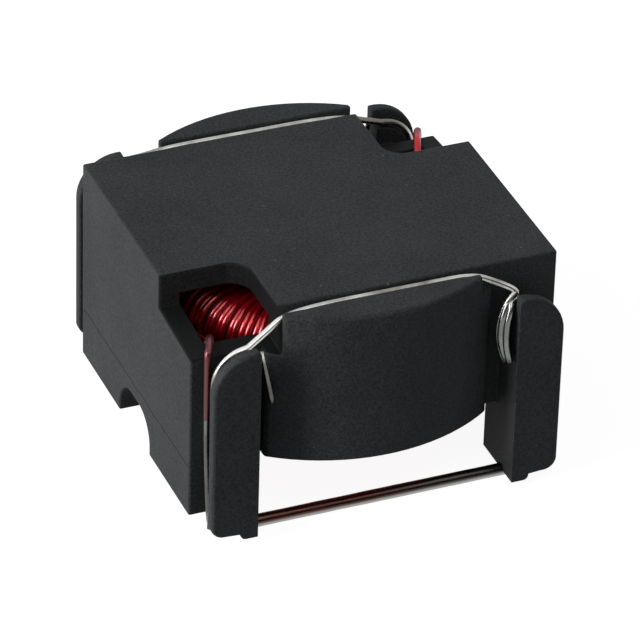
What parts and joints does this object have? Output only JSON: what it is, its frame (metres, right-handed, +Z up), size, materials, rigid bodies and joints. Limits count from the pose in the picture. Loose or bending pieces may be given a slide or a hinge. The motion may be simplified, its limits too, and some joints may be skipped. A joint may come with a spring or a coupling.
{
  "type": "smd inductor",
  "caption": "Surface mount inductor: a wire-wound ring core under a black moulded cap that stands on the tinned wire ends wrapped round its corner posts.",
  "frame": {"origin": "on the board plane, under the centre of the cap", "axes": "+Z up from the board, +X towards the right side wall, -Y towards the front terminal"},
  "size_m": [0.017, 0.018, 0.0108],
  "materials": {
    "cap_plastic": "moulded thermoset, fine matte grain",
    "core_ferrite": "sintered, dull",
    "enamelled_wire": "clear red enamel on copper, glossy",
    "tinned_wire": "hot dipped solder, bright"
  },
  "bodies": {
    "root": {"cap": "cap_plastic", "ring_core": "core_ferrite", "winding": "enamelled_wire", "front_lead": "enamelled_wire", "rear_lead": "enamelled_wire", "front_terminal": "tinned_wire", "rear_terminal": "tinned_wire"}
  },
  "joints": []
}
